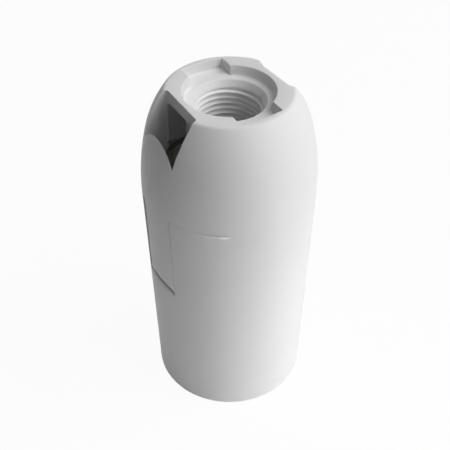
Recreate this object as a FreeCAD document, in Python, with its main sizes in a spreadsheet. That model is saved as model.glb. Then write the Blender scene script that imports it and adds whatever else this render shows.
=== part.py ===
import FreeCAD, Part
import Sketcher
import math
import os

# E14 lamp holder: skirt, insert and domed cap with an M10 x 1 entry.
# Origin: centre of the mouth, which the holder stands on. +Z runs up the axis to the threaded entry.
# The snap arms and release windows lie on +X and -X, the terminals and top pockets on +Y and -Y.

DRIVING = {
    # outside
    "seam_radius": (14.0, "largest radius, at the seam"),
    "seam_height": (40.9, "mouth to seam"),
    "skirt_taper": (1.1, "how much smaller the mouth's radius is"),
    "seam_chamfer": (0.15, "edge break on both sides of the seam"),
    "mouth_chamfer": (0.3, "both edges of the mouth"),
    # dome
    "dome_height": (16.6, "seam to top face"),
    "dome_radius": (44.0, "lower dome arc"),
    "shoulder_rise": (9.8, "seam to where the tighter arc starts"),
    "rim_inset": (4.2, "seam radius to the dome's radius at the top"),
    "rim_chamfer": (0.4, "edge of the top face"),
    "cap_wall": (1.9, "dome wall"),
    "plate_thickness": (2.1, "top plate"),
    # threaded entry
    "entry_radius": (4.5, "crest of the M10 x 1 thread"),
    "entry_mouth_radius": (6.0, "lead-in chamfer"),
    "recess_radius": (7.0, "round recess in the top"),
    "recess_depth": (1.4, "recess and side pockets"),
    "pocket_lip": (0.9, "side pockets to the edge of the top face"),
    "pocket_half_width": (3.4, "half of a side pocket"),
    "boss_radius": (6.6, "boss around the thread"),
    "boss_length": (11.5, "top face to the boss end"),
    "stop_thickness": (1.2, "lip that stops the nipple"),
    "stop_radius": (3.6, "wire passage in the stop lip"),
    # windows and snap arms
    "window_offset": (1.4, "boss to window"),
    "arm_thickness": (1.9, "arm at the seam, and dome beside the window"),
    "window_half_width": (4.43, "half of a window"),
    "web_thickness": (1.0, "webs beside each window"),
    "arm_half_width": (4.35, "half of a snap arm"),
    "arm_slit": (0.12, "side clearance of a snap arm"),
    "arm_length": (14.6, "seam to the lower end of a snap arm"),
    "arm_end_gap": (0.85, "slot left under a snap arm"),
    "hook_reach": (0.9, "how far a hook stands in"),
    "hook_height": (1.6, "height of a hook"),
    "hook_half_width": (3.0, "half of a hook"),
    "hook_play": (0.1, "hook to ledge"),
    # spigot of the cap
    "spigot_depth": (2.4, "how far it enters the skirt"),
    "spigot_wall": (1.0, "spigot wall"),
    "spigot_play": (0.12, "spigot to skirt"),
    "spigot_root": (1.5, "spigot root above the seam"),
    "relief_play": (0.4, "gap in the spigot beside a screw head"),
    # skirt
    "skirt_wall": (1.9, "skirt wall"),
    "ledge_thickness": (2.0, "inner ledge that carries the insert"),
    "ledge_cover": (0.2, "ledge standing into the skirt wall"),
    "key_half_width": (0.8, "half of a key rib"),
    "key_height": (1.8, "key rib above the ledge"),
    "key_reach": (1.1, "key rib from the wall"),
    "key_play": (0.2, "key rib to flange notch"),
    # insert
    "sleeve_wall": (1.5, "lamp sleeve"),
    "sleeve_length": (23.0, "sleeve below the ledge top"),
    "sleeve_lead_in": (0.6, "chamfer inside the sleeve's end"),
    "sleeve_play": (0.3, "sleeve to ledge"),
    "flange_play": (0.35, "flange to skirt"),
    "insert_plate": (2.0, "floor that carries the contacts"),
    "barrier_half_thickness": (0.75, "half of the wall between the poles"),
    "barrier_half_length": (8.5, "half of the wall's length"),
    "nest_wall": (1.2, "walls beside a terminal"),
    "nest_height": (6.5, "nest walls above the floor"),
    "nest_play": (0.2, "terminal to nest"),
    "seat_play": (0.1, "terminal seat above the rivet head"),
    "slot_play": (0.2, "strip to its slot"),
    # screw shell, E14 thread
    "shell_crest": (6.2, "thread crest radius"),
    "shell_root": (7.0, "thread root radius"),
    "shell_sheet": (0.35, "sheet thickness"),
    "shell_play": (0.2, "shell to sleeve"),
    "shell_length": (20.5, "shell below the ledge top"),
    "shell_pitch": (2.82, "thread pitch"),
    "shell_land": (0.7, "straight part of a crest or root"),
    "shell_crest_drop": (5.6, "ledge top to the uppermost crest"),
    "shell_flange_hole": (4.4, "hole for the centre contact"),
    # strips
    "strip_sheet": (0.4, "contact strip thickness"),
    "contact_half_width": (1.5, "half of the centre contact"),
    "neutral_half_width": (1.4, "half of the neutral strip"),
    "contact_bend_drop": (1.1, "ledge top to the bend of the contact leg"),
    "contact_tip_drop": (3.2, "ledge top to the centre contact's tip"),
    "contact_tail_drop": (1.8, "ledge top to the spring's free end"),
    "contact_tail_reach": (2.2, "free end from the axis"),
    "strip_rise": (5.6, "both strips above the terminal seat"),
    "foot_length": (2.0, "foot of the neutral strip"),
    # terminals
    "cage_half_width": (2.75, "half of a terminal cage"),
    "cage_inner_wall": (0.7, "wall next to the barrier"),
    "cage_slot_depth": (3.0, "wire slot along the screw"),
    "cage_slot_half_width": (1.7, "half of the wire slot"),
    "cage_outer_wall": (1.4, "tapped wall"),
    "cage_height": (6.4, "terminal cage"),
    "screw_rise": (3.2, "screw axis above the terminal seat"),
    "screw_radius": (1.5, "M3 shank"),
    "screw_play": (0.05, "shank to tapped hole"),
    "screw_travel": (1.5, "feed from open to closed"),
    "screw_reserve": (0.1, "head to cage when closed"),
    "head_clearance": (0.7, "head to skirt when open"),
    "head_radius": (1.9, "screw head"),
    "head_thickness": (0.9, "screw head"),
    "driver_slot": (0.5, "width of the driver slot"),
    "driver_slot_depth": (0.5, "depth of the driver slot"),
    "tip_chamfer": (0.3, "screw tip"),
    "plate_sheet": (0.5, "pressure plate"),
    "plate_half_width": (1.45, "half of a pressure plate"),
    "plate_half_height": (2.4, "half of a pressure plate"),
    "plate_play": (0.05, "pressure plate to tapped wall"),
    # rivets
    "rivet_radius": (0.5, "rivet shank"),
    "rivet_play": (0.05, "rivet to its hole"),
    "rivet_head_radius": (0.75, "rivet head"),
    "rivet_head_height": (0.5, "rivet head"),
    "shell_rivet_x": (5.2, "shell rivet, along X"),
    "shell_rivet_y": (1.95, "shell rivet, along Y"),
}

CREST_COUNT = 4
BEYOND = 2.0

doc = FreeCAD.newDocument("lamp_holder")
sheet = doc.addObject("Spreadsheet::Sheet", "Sizes")


class Size:
    # A length that knows its value and the expression that gives it from the sheet.
    def __init__(self, value, text):
        self.value = value
        self.text = text

    def __add__(self, other):
        other = as_size(other)
        return Size(self.value + other.value, f"({self.text} + {other.text})")

    def __sub__(self, other):
        other = as_size(other)
        return Size(self.value - other.value, f"({self.text} - {other.text})")

    def __mul__(self, other):
        other = as_size(other)
        return Size(self.value * other.value, f"({self.text} * {other.text})")

    def __truediv__(self, other):
        other = as_size(other)
        return Size(self.value / other.value, f"({self.text} / {other.text})")

    def __neg__(self):
        return Size(-self.value, f"(0 - {self.text})")


def as_size(number):
    if isinstance(number, Size):
        return number
    return Size(float(number), repr(float(number)))


def root(size):
    return Size(math.sqrt(size.value), f"sqrt({size.text})")


class Sizes:
    pass


size = Sizes()
for row, (alias, (value, note)) in enumerate(DRIVING.items(), start=1):
    sheet.set(f"A{row}", alias)
    sheet.set(f"B{row}", str(value))
    sheet.set(f"C{row}", note)
    sheet.setAlias(f"B{row}", alias)
    setattr(size, alias, Size(value, f"Sizes.{alias}"))
doc.recompute()


def new_body(label):
    body = doc.addObject("PartDesign::Body", label)
    body.Label = label
    return body


def new_sketch(body, name, plane, height=None):
    sketch = body.newObject("Sketcher::SketchObject", name)
    for feature in body.Origin.OriginFeatures:
        if feature.Role == plane:
            sketch.AttachmentSupport = [(feature, "")]
    sketch.MapMode = "FlatFace"
    if height is not None:
        sketch.setExpression("AttachmentOffset.Base.z", as_size(height).text)
    return sketch


def bind(sketch, constraint, length):
    index = sketch.addConstraint(constraint)
    sketch.setExpression(f"Constraints[{index}]", length.text)


def arc_between(start, end, radius):
    # Positive radius: the arc turns left on its way from start to end.
    middle = (start + end) / 2
    chord = end - start
    left = FreeCAD.Vector(-chord.y, chord.x, 0).normalize()
    rise = math.sqrt(max(radius * radius - chord.Length * chord.Length / 4, 0))
    centre = middle + left * math.copysign(rise, radius)
    first, last = (start, end) if radius > 0 else (end, start)
    first_angle = math.atan2(first.y - centre.y, first.x - centre.x)
    last_angle = math.atan2(last.y - centre.y, last.x - centre.x)
    circle = Part.Circle(centre, FreeCAD.Vector(0, 0, 1), abs(radius))
    return Part.ArcOfCircle(circle, first_angle, last_angle)


def outline(sketch, corners):
    # Each corner is (x, y) or (x, y, radius): with a radius, the edge that leads to it is an arc.
    places = [(as_size(corner[0]), as_size(corner[1])) for corner in corners]
    points = [FreeCAD.Vector(x.value, y.value, 0) for x, y in places]
    ends = []
    for index, point in enumerate(points):
        following = (index + 1) % len(points)
        radius = corners[following][2] if len(corners[following]) > 2 else None
        if radius is None:
            edge = sketch.addGeometry(Part.LineSegment(point, points[following]))
            ends.append((edge, 1, 2))
            continue
        arc = arc_between(point, points[following], radius.value)
        edge = sketch.addGeometry(arc)
        ends.append((edge, 1, 2) if radius.value > 0 else (edge, 2, 1))
        bound = radius if radius.value > 0 else -radius
        bind(sketch, Sketcher.Constraint("Radius", edge, bound.value), bound)
    for index, (edge, start, end) in enumerate(ends):
        next_edge, next_start, _ = ends[(index + 1) % len(ends)]
        sketch.addConstraint(Sketcher.Constraint("Coincident", edge, end, next_edge, next_start))
        x, y = places[index]
        bind(sketch, Sketcher.Constraint("DistanceX", -1, 1, edge, start, x.value), x)
        bind(sketch, Sketcher.Constraint("DistanceY", -1, 1, edge, start, y.value), y)


def box_outline(sketch, low_x, high_x, low_y, high_y):
    outline(sketch, [(low_x, low_y), (high_x, low_y), (high_x, high_y), (low_x, high_y)])


def circle_outline(sketch, x, y, radius):
    centre = FreeCAD.Vector(x.value, y.value, 0)
    edge = sketch.addGeometry(Part.Circle(centre, FreeCAD.Vector(0, 0, 1), radius.value))
    bind(sketch, Sketcher.Constraint("Radius", edge, radius.value), radius)
    bind(sketch, Sketcher.Constraint("DistanceX", -1, 1, edge, 3, x.value), x)
    bind(sketch, Sketcher.Constraint("DistanceY", -1, 1, edge, 3, y.value), y)


def turned(body, sketch, kind="PartDesign::Revolution"):
    feature = body.newObject(kind, "Turned" if kind.endswith("Revolution") else "Grooved")
    feature.Profile = sketch
    feature.ReferenceAxis = (sketch, ["V_Axis"])
    feature.Angle = 360.0
    return feature


def raised(body, sketch, length, both_ways=False, backwards=False):
    feature = body.newObject("PartDesign::Pad", "Raised")
    feature.Profile = sketch
    feature.setExpression("Length", length.text)
    feature.Midplane = both_ways
    feature.Reversed = backwards
    return feature


def sunk(body, sketch, length, backwards=False):
    feature = body.newObject("PartDesign::Pocket", "Sunk")
    feature.Profile = sketch
    feature.setExpression("Length", length.text)
    feature.Reversed = backwards
    return feature


# Outer form shared by cap and skirt

mouth_radius = size.seam_radius - size.skirt_taper
rim_radius = size.seam_radius - size.rim_inset
total_height = size.seam_height + size.dome_height


def skirt_radius(height):
    return mouth_radius + size.skirt_taper / size.seam_height * height


def skirt_inner_radius(height):
    return skirt_radius(height) - size.skirt_wall


# The tighter arc leaves the lower one without a kink and ends at the rim.
lower_centre_x = size.seam_radius - size.dome_radius
shoulder_height = size.seam_height + size.shoulder_rise
shoulder_run = root(size.dome_radius * size.dome_radius - size.shoulder_rise * size.shoulder_rise)
shoulder_x = lower_centre_x + shoulder_run
rim_run = rim_radius - shoulder_x
rim_rise = total_height - shoulder_height
crown_radius = (rim_run * rim_run + rim_rise * rim_rise) * size.dome_radius / (
    (rim_run * shoulder_run + rim_rise * size.shoulder_rise) * -2)
crown_share = crown_radius / size.dome_radius
crown_centre_x = shoulder_x - shoulder_run * crown_share
crown_centre_z = shoulder_height - size.shoulder_rise * crown_share

plate_bottom = total_height - size.plate_thickness
recess_floor = total_height - size.recess_depth
boss_end = total_height - size.boss_length
arm_plane = size.seam_radius - size.arm_thickness
arm_end = size.seam_height - size.arm_length
hook_top = arm_end + size.hook_height
ledge_bottom = hook_top + size.hook_play
ledge_top = ledge_bottom + size.ledge_thickness
insert_floor = ledge_top + size.insert_plate


def lower_dome(height, depth):
    rise = height - size.seam_height
    radius = size.dome_radius - depth
    return lower_centre_x + root(radius * radius - rise * rise)


def crown(height, depth):
    rise = height - crown_centre_z
    radius = crown_radius - depth
    return crown_centre_x + root(radius * radius - rise * rise)


# Cap

def make_cap():
    body = new_body("cap")
    wall = size.cap_wall
    inner_share = (size.dome_radius - wall) / size.dome_radius
    inner_shoulder_x = lower_centre_x + shoulder_run * inner_share
    inner_shoulder_z = size.seam_height + size.shoulder_rise * inner_share
    spigot_end = size.seam_height - size.spigot_depth
    spigot_outer = skirt_inner_radius(spigot_end) - size.spigot_play
    spigot_inner = spigot_outer - size.spigot_wall
    root_top = size.seam_height + size.spigot_root
    chamfer_top = size.seam_height + size.seam_chamfer
    rim_edge = total_height - size.rim_chamfer
    lead_in = size.entry_mouth_radius - size.entry_radius
    stop_top = boss_end + size.stop_thickness
    section = new_sketch(body, "CapSection", "XZ_Plane")
    outline(section, [
        (size.stop_radius, boss_end),
        (size.boss_radius, boss_end),
        (size.boss_radius, plate_bottom),
        (crown(plate_bottom, wall), plate_bottom),
        (inner_shoulder_x, inner_shoulder_z, -(crown_radius - wall)),
        (lower_dome(root_top, wall), root_top, -(size.dome_radius - wall)),
        (spigot_inner, root_top),
        (spigot_inner, spigot_end),
        (spigot_outer, spigot_end),
        (spigot_outer, size.seam_height),
        (size.seam_radius - size.seam_chamfer, size.seam_height),
        (lower_dome(chamfer_top, as_size(0)), chamfer_top),
        (shoulder_x, shoulder_height, size.dome_radius),
        (crown(rim_edge, as_size(0)), rim_edge, crown_radius),
        (rim_radius - size.rim_chamfer, total_height),
        (size.recess_radius, total_height),
        (size.recess_radius, recess_floor),
        (size.entry_mouth_radius, recess_floor),
        (size.entry_radius, recess_floor - lead_in),
        (size.entry_radius, stop_top),
        (size.stop_radius, stop_top),
    ])
    turned(body, section)

    web_outer = size.window_half_width + size.web_thickness
    web_low_reach = lower_dome(boss_end, wall / 2)
    web_top_reach = crown(plate_bottom, wall / 2)
    web_low_x = root(web_low_reach * web_low_reach - web_outer * web_outer)
    web_top_x = root(web_top_reach * web_top_reach - web_outer * web_outer)
    boss_middle = (size.boss_radius + size.entry_radius) / 2
    web_start = root(boss_middle * boss_middle - size.window_half_width * size.window_half_width)
    for side in (1, -1):
        webs = new_sketch(body, "WindowWebs", "XZ_Plane", size.window_half_width * side)
        for way in (1, -1):
            outline(webs, [
                (web_start * way, boss_end),
                (web_low_x * way, boss_end),
                (web_top_x * way, plate_bottom),
                (web_start * way, plate_bottom),
            ])
        raised(body, webs, size.web_thickness, backwards=side < 0)

    arms = new_sketch(body, "SnapArms", "XY_Plane", arm_end)
    far = size.seam_radius + BEYOND
    for way in (1, -1):
        box_outline(arms, arm_plane * way, far * way, -size.arm_half_width, size.arm_half_width)
    raised(body, arms, size.arm_length)
    trim = new_sketch(body, "ArmTrim", "XZ_Plane")
    below = arm_end - BEYOND
    outline(trim, [
        (skirt_radius(below), below),
        (far + BEYOND, below),
        (far + BEYOND, size.seam_height),
        (size.seam_radius, size.seam_height),
    ])
    turned(body, trim, "PartDesign::Groove")

    hooks = new_sketch(body, "Hooks", "XZ_Plane")
    hook_root = arm_plane + size.arm_thickness / 2
    hook_tip = arm_plane - size.hook_reach
    for way in (1, -1):
        outline(hooks, [
            (arm_plane * way, arm_end),
            (hook_root * way, arm_end),
            (hook_root * way, hook_top),
            (hook_tip * way, hook_top),
            (hook_tip * way, arm_end + size.hook_reach),
        ])
    raised(body, hooks, size.hook_half_width * 2, both_ways=True)

    windows = new_sketch(body, "Windows", "XY_Plane", hook_top)
    window_inner = size.boss_radius + size.window_offset
    for way in (1, -1):
        box_outline(windows, window_inner * way, arm_plane * way,
                    -size.window_half_width, size.window_half_width)
    sunk(body, windows, total_height - hook_top + BEYOND, backwards=True)

    reliefs = new_sketch(body, "ScrewReliefs", "XY_Plane", spigot_end)
    beside = size.head_radius + size.relief_play
    for way in (1, -1):
        box_outline(reliefs, -beside, beside, (spigot_inner - BEYOND) * way, (spigot_outer + BEYOND) * way)
    sunk(body, reliefs, size.spigot_depth, backwards=True)

    pockets = new_sketch(body, "SidePockets", "XY_Plane", recess_floor)
    half = size.pocket_half_width
    reach = rim_radius - size.pocket_lip
    end = root(reach * reach - half * half)
    outline(pockets, [
        (-half, -end),
        (half, -end, reach),
        (half, end),
        (-half, end, reach),
    ])
    sunk(body, pockets, size.recess_depth + BEYOND, backwards=True)
    return body


# Skirt

def make_skirt():
    body = new_body("skirt")
    mouth_inner = mouth_radius - size.skirt_wall
    edge = size.mouth_chamfer
    section = new_sketch(body, "SkirtSection", "XZ_Plane")
    chamfer_bottom = size.seam_height - size.seam_chamfer
    outline(section, [
        (skirt_inner_radius(edge), edge),
        (mouth_inner + edge, 0),
        (mouth_radius - edge, 0),
        (skirt_radius(edge), edge),
        (skirt_radius(chamfer_bottom), chamfer_bottom),
        (size.seam_radius - size.seam_chamfer, size.seam_height),
        (skirt_inner_radius(size.seam_height), size.seam_height),
    ])
    turned(body, section)

    notches = new_sketch(body, "ArmNotches", "XY_Plane", arm_end - size.arm_end_gap)
    half = size.arm_half_width + size.arm_slit
    near = mouth_inner - BEYOND
    for way in (1, -1):
        box_outline(notches, near * way, (size.seam_radius + BEYOND) * way, -half, half)
    sunk(body, notches, size.seam_height, backwards=True)

    ledge = new_sketch(body, "Ledge", "XZ_Plane")
    ledge_inner = sleeve_outer + size.sleeve_play
    ledge_outer = skirt_inner_radius(ledge_bottom) + size.ledge_cover
    outline(ledge, [
        (ledge_inner, ledge_bottom),
        (ledge_outer, ledge_bottom),
        (ledge_outer, ledge_top),
        (ledge_inner, ledge_top),
    ])
    turned(body, ledge)

    keys = new_sketch(body, "KeyRibs", "XY_Plane", ledge_top)
    wall_inside = skirt_inner_radius(ledge_top)
    for way in (1, -1):
        box_outline(keys, -size.key_half_width, size.key_half_width,
                    (wall_inside - size.key_reach) * way, (wall_inside + size.skirt_wall / 2) * way)
    raised(body, keys, size.key_height)
    return body


# Insert

shell_outer = size.shell_root + size.shell_sheet
sleeve_inner = shell_outer + size.shell_play
sleeve_outer = sleeve_inner + size.sleeve_wall
sleeve_end = ledge_top - size.sleeve_length
seat_rise = size.strip_sheet + size.rivet_head_height + size.seat_play
seat_top = insert_floor + seat_rise
screw_height = seat_top + size.screw_rise
screw_end = skirt_inner_radius(screw_height) - size.head_clearance
head_start = screw_end - size.head_thickness
cage_end = head_start - size.screw_travel - size.screw_reserve
slot_end = cage_end - size.cage_outer_wall
slot_start = slot_end - size.cage_slot_depth
cage_start = slot_start - size.cage_inner_wall
strip_half = size.strip_sheet / 2
strip_place = slot_start + strip_half
strip_top = seat_top + size.strip_rise
foot_end = strip_place + size.foot_length
leg_place = size.barrier_half_thickness + size.slot_play + strip_half
contact_rivet_place = (leg_place + strip_place) / 2


def make_insert():
    body = new_body("insert")
    flange_radius = skirt_inner_radius(ledge_top) - size.flange_play
    section = new_sketch(body, "InsertSection", "XZ_Plane")
    outline(section, [
        (sleeve_inner, sleeve_end + size.sleeve_lead_in),
        (sleeve_inner + size.sleeve_lead_in, sleeve_end),
        (sleeve_outer, sleeve_end),
        (sleeve_outer, ledge_top),
        (flange_radius, ledge_top),
        (flange_radius, insert_floor),
        (0, insert_floor),
        (0, ledge_top),
        (sleeve_inner, ledge_top),
    ])
    turned(body, section)

    barrier = new_sketch(body, "Barrier", "XY_Plane", insert_floor)
    box_outline(barrier, -size.barrier_half_length, size.barrier_half_length,
                -size.barrier_half_thickness, size.barrier_half_thickness)
    raised(body, barrier, boss_end - insert_floor)

    nests = new_sketch(body, "TerminalNests", "XY_Plane", insert_floor)
    near = size.cage_half_width + size.nest_play
    for way in (1, -1):
        for side in (1, -1):
            box_outline(nests, near * way, (near + size.nest_wall) * way, cage_start * side, cage_end * side)
    raised(body, nests, size.nest_height)

    seats = new_sketch(body, "TerminalSeats", "XY_Plane", insert_floor)
    seat_near = strip_place + strip_half + size.slot_play
    for side in (1, -1):
        box_outline(seats, -near, near, seat_near * side, cage_end * side)
    raised(body, seats, seat_rise)

    slots = new_sketch(body, "StripSlots", "XY_Plane", ledge_top)
    reach = strip_half + size.slot_play
    contact_side = size.contact_half_width + size.slot_play
    neutral_side = size.neutral_half_width + size.slot_play
    box_outline(slots, -contact_side, contact_side, -leg_place - reach, -leg_place + reach)
    box_outline(slots, -neutral_side, neutral_side, strip_place - reach, strip_place + reach)
    sunk(body, slots, size.insert_plate, backwards=True)

    recess = new_sketch(body, "FootRecess", "XY_Plane", ledge_top)
    box_outline(recess, -neutral_side, neutral_side, strip_place, foot_end + size.slot_play)
    sunk(body, recess, size.strip_sheet, backwards=True)

    holes = new_sketch(body, "RivetHoles", "XY_Plane", ledge_top)
    hole = size.rivet_radius + size.rivet_play
    circle_outline(holes, as_size(0), -contact_rivet_place, hole)
    circle_outline(holes, size.shell_rivet_x, size.shell_rivet_y, hole)
    circle_outline(holes, -size.shell_rivet_x, -size.shell_rivet_y, hole)
    sunk(body, holes, size.insert_plate, backwards=True)

    keyways = new_sketch(body, "Keyways", "XY_Plane", ledge_top)
    key_side = size.key_half_width + size.key_play
    key_near = skirt_inner_radius(ledge_top) - size.key_reach - size.key_play
    for way in (1, -1):
        box_outline(keyways, -key_side, key_side, key_near * way, (flange_radius + BEYOND) * way)
    sunk(body, keyways, size.insert_plate, backwards=True)
    return body


# Metal contacts

def make_thread_shell():
    body = new_body("thread_shell")
    flank = (size.shell_pitch - size.shell_land * 2) / 2
    inside = [(size.shell_root, ledge_top - size.shell_sheet)]
    for index in range(CREST_COUNT):
        crest = ledge_top - size.shell_crest_drop - size.shell_pitch * index
        half_land = size.shell_land / 2
        inside += [
            (size.shell_root, crest + half_land + flank),
            (size.shell_crest, crest + half_land),
            (size.shell_crest, crest - half_land),
            (size.shell_root, crest - half_land - flank),
        ]
    inside.append((size.shell_root, ledge_top - size.shell_length))
    outside = [(radius + size.shell_sheet, height) for radius, height in reversed(inside[1:])]
    section = new_sketch(body, "ShellSection", "XZ_Plane")
    outline(section, [(size.shell_flange_hole, ledge_top), (size.shell_flange_hole, ledge_top - size.shell_sheet)]
            + inside + outside + [(shell_outer, ledge_top)])
    turned(body, section)

    foot_gap = new_sketch(body, "RivetHoles", "XY_Plane", ledge_top)
    hole = size.rivet_radius + size.rivet_play
    circle_outline(foot_gap, size.shell_rivet_x, size.shell_rivet_y, hole)
    circle_outline(foot_gap, -size.shell_rivet_x, -size.shell_rivet_y, hole)
    sunk(body, foot_gap, size.shell_sheet)
    return body


def make_strip(label, half_width, path):
    # A folded strip: the path is the middle of the sheet, seen along X.
    points = [FreeCAD.Vector(y.value, z.value, 0) for y, z in path]
    line = doc.addObject("Sketcher::SketchObject", "StripPath")
    line.Placement = FreeCAD.Placement(FreeCAD.Vector(0, 0, 0), FreeCAD.Rotation(FreeCAD.Vector(1, 1, 1), 120))
    for index in range(len(points) - 1):
        line.addGeometry(Part.LineSegment(points[index], points[index + 1]))
        if index:
            line.addConstraint(Sketcher.Constraint("Coincident", index - 1, 2, index, 1))
    for index, (y, z) in enumerate(path):
        edge, end = (index, 1) if index < len(path) - 1 else (index - 1, 2)
        bind(line, Sketcher.Constraint("DistanceX", -1, 1, edge, end, y.value), y)
        bind(line, Sketcher.Constraint("DistanceY", -1, 1, edge, end, z.value), z)
    doc.recompute()
    face = doc.addObject("Part::Offset2D", "StripFace")
    face.Source = line
    face.Fill = True
    face.Mode = "Pipe"
    face.setExpression("Value", strip_half.text)
    strip = doc.addObject("Part::Extrusion", label)
    strip.Label = label
    strip.Base = face
    strip.DirMode = "Custom"
    strip.Dir = FreeCAD.Vector(1, 0, 0)
    strip.Symmetric = True
    strip.setExpression("LengthFwd", (half_width * 2).text)
    return strip


def make_centre_contact():
    run = insert_floor + strip_half
    strip = make_strip("contact_blank", size.contact_half_width, [
        (-strip_place, strip_top),
        (-strip_place, run),
        (-leg_place, run),
        (-leg_place, ledge_top - size.contact_bend_drop),
        (as_size(0), ledge_top - size.contact_tip_drop),
        (size.contact_tail_reach, ledge_top - size.contact_tail_drop),
    ])
    hole = doc.addObject("Part::Cylinder", "ContactRivetHole")
    hole.setExpression("Radius", (size.rivet_radius + size.rivet_play).text)
    hole.setExpression("Height", (size.strip_sheet + BEYOND).text)
    hole.setExpression("Placement.Base.y", (-contact_rivet_place).text)
    hole.setExpression("Placement.Base.z", (run - (size.strip_sheet + BEYOND) / 2).text)
    contact = doc.addObject("Part::Cut", "centre_contact")
    contact.Label = "centre_contact"
    contact.Base = strip
    contact.Tool = hole
    return contact


def make_neutral_strip():
    return make_strip("neutral_strip", size.neutral_half_width, [
        (foot_end, ledge_top + strip_half),
        (strip_place, ledge_top + strip_half),
        (strip_place, strip_top),
    ])


# Terminals: modelled on the +Y side and turned about the axis for the -Y side

def placed(feature, turn):
    feature.Placement = FreeCAD.Placement(
        FreeCAD.Vector(0, 0, 0), FreeCAD.Rotation(FreeCAD.Vector(0, 0, 1), turn))


def make_cage(label, turn):
    block = doc.addObject("Part::Box", "CageBlock")
    block.setExpression("Length", (size.cage_half_width * 2).text)
    block.setExpression("Width", (cage_end - cage_start).text)
    block.setExpression("Height", size.cage_height.text)
    block.setExpression("Placement.Base.x", (-size.cage_half_width).text)
    block.setExpression("Placement.Base.y", cage_start.text)
    block.setExpression("Placement.Base.z", seat_top.text)
    slot = doc.addObject("Part::Box", "CageSlot")
    slot.setExpression("Length", (size.cage_slot_half_width * 2).text)
    slot.setExpression("Width", size.cage_slot_depth.text)
    slot.setExpression("Height", (size.cage_height + BEYOND * 2).text)
    slot.setExpression("Placement.Base.x", (-size.cage_slot_half_width).text)
    slot.setExpression("Placement.Base.y", slot_start.text)
    slot.setExpression("Placement.Base.z", (seat_top - BEYOND).text)
    tapped = doc.addObject("Part::Cylinder", "CageThread")
    tapped.Placement = FreeCAD.Placement(
        FreeCAD.Vector(0, 0, 0), FreeCAD.Rotation(FreeCAD.Vector(1, 0, 0), -90))
    tapped.setExpression("Radius", (size.screw_radius + size.screw_play).text)
    tapped.setExpression("Height", (size.cage_outer_wall + size.cage_slot_depth).text)
    tapped.setExpression("Placement.Base.y", (slot_end - size.cage_slot_depth / 2).text)
    tapped.setExpression("Placement.Base.z", screw_height.text)
    tools = doc.addObject("Part::MultiFuse", "CageOpenings")
    tools.Shapes = [slot, tapped]
    cage = doc.addObject("Part::Cut", label)
    cage.Label = label
    cage.Base = block
    cage.Tool = tools
    placed(cage, turn)
    return cage


def make_pressure_plate(label, turn):
    body = new_body(label)
    sketch = new_sketch(body, "PlateFace", "XZ_Plane", -(slot_end - size.plate_play))
    middle = screw_height
    corner = size.plate_sheet
    wide, high = size.plate_half_width, size.plate_half_height
    outline(sketch, [
        (-wide + corner, middle - high, corner),
        (wide - corner, middle - high),
        (wide, middle - high + corner, corner),
        (wide, middle + high - corner),
        (wide - corner, middle + high, corner),
        (-wide + corner, middle + high),
        (-wide, middle + high - corner, corner),
        (-wide, middle - high + corner),
    ])
    raised(body, sketch, size.plate_sheet)
    placed(body, turn)
    return body


def make_screw(label, turn):
    body = new_body(label)
    tip = slot_end - size.plate_play
    radius = size.screw_radius
    sketch = new_sketch(body, "ScrewSection", "XY_Plane", screw_height)
    outline(sketch, [
        (0, tip),
        (radius - size.tip_chamfer, tip),
        (radius, tip + size.tip_chamfer),
        (radius, head_start),
        (size.head_radius, head_start),
        (size.head_radius, screw_end),
        (0, screw_end),
    ])
    turned(body, sketch)
    slot = new_sketch(body, "DriverSlot", "XY_Plane", screw_height)
    half = size.driver_slot / 2
    box_outline(slot, -half, half, screw_end - size.driver_slot_depth, screw_end + BEYOND)
    cut = sunk(body, slot, size.head_radius * 2 + BEYOND)
    cut.Midplane = True
    placed(body, turn)
    return body


# Rivets

def make_rivet(label, x, y, low, high):
    body = new_body(label)
    section = new_sketch(body, "RivetSection", "XZ_Plane")
    head = size.rivet_head_height
    flat = size.rivet_head_radius - head / 2
    outline(section, [
        (0, low - head),
        (flat, low - head),
        (size.rivet_head_radius, low - head / 2),
        (size.rivet_head_radius, low),
        (size.rivet_radius, low),
        (size.rivet_radius, high),
        (size.rivet_head_radius, high),
        (size.rivet_head_radius, high + head / 2),
        (flat, high + head),
        (0, high + head),
    ])
    turned(body, section)
    body.setExpression("Placement.Base.x", as_size(x).text)
    body.setExpression("Placement.Base.y", as_size(y).text)
    return body


pieces = [
    make_cap(),
    make_skirt(),
    make_insert(),
    make_thread_shell(),
    make_centre_contact(),
    make_neutral_strip(),
]
for pole, turn in (("live", 180), ("neutral", 0)):
    pieces.append(make_cage(f"terminal_cage_{pole}", turn))
    pieces.append(make_pressure_plate(f"pressure_plate_{pole}", turn))
    pieces.append(make_screw(f"terminal_screw_{pole}", turn))
pieces.append(make_rivet("contact_rivet", 0, -contact_rivet_place,
                         ledge_top, insert_floor + size.strip_sheet))
for place, way in (("back", 1), ("front", -1)):
    pieces.append(make_rivet(f"shell_rivet_{place}", size.shell_rivet_x * way, size.shell_rivet_y * way,
                             ledge_top - size.shell_sheet, insert_floor))

doc.recompute()
for thing in doc.Objects:
    if "Invalid" in thing.State or "Error" in thing.State:
        raise RuntimeError(f"{thing.Label} ({thing.Name}) failed: {thing.State}")
os.makedirs("parts", exist_ok=True)
for piece in pieces:
    shape = piece.Shape
    if shape.isNull() or not shape.isValid():
        raise RuntimeError(f"{piece.Label} has no valid shape")
    print(f"{piece.Label}: {len(shape.Solids)} solid, {shape.Volume:.1f} mm3")
for piece in pieces:
    piece.Shape.exportStep(f"parts/{piece.Label}.step")
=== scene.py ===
import bpy
import bmesh
import math
from mathutils import Matrix, Vector


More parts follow.
